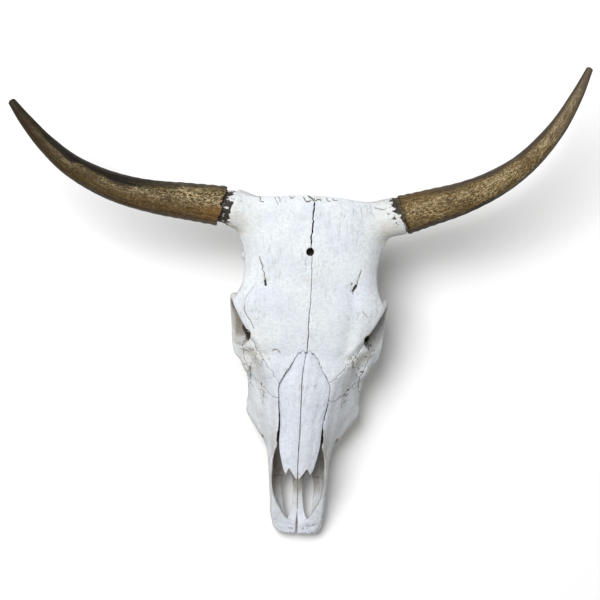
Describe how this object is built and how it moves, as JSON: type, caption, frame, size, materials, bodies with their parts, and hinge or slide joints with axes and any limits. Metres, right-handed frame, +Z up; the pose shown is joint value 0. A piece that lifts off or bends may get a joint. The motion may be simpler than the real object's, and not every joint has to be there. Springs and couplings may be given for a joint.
{
  "type": "cow skull",
  "caption": "Life-size cow skull without its lower jaw, parted into its bones, with both curved horns, lying on its cheek teeth.",
  "frame": {"origin": "bottom centre of the bounding box, on the plane that the teeth and the jugular processes rest on", "axes": "+X to the animal's left, along the spread of the horns, the longest extent; +Y from the nose to the poll; +Z up out of the forehead, the shortest extent"},
  "size_m": [0.8483, 0.7258, 0.2082],
  "materials": {
    "bone": "dry, bleached bone, chalky and matt, with cream and grey stains",
    "horn": "olive brown horn with a satin shine, fine lengthwise fibres and gold mottling"
  },
  "bodies": {
    "root": {"frontal_left": "bone", "frontal_right": "bone", "horn_left": "horn", "horn_right": "horn", "lacrimal_left": "bone", "lacrimal_right": "bone", "maxilla_left": "bone", "maxilla_right": "bone", "nasal_left": "bone", "nasal_right": "bone", "occipital": "bone", "premaxilla_left": "bone", "premaxilla_right": "bone", "sphenoid": "bone", "temporal_left": "bone", "temporal_right": "bone", "zygomatic_left": "bone", "zygomatic_right": "bone"}
  },
  "joints": []
}
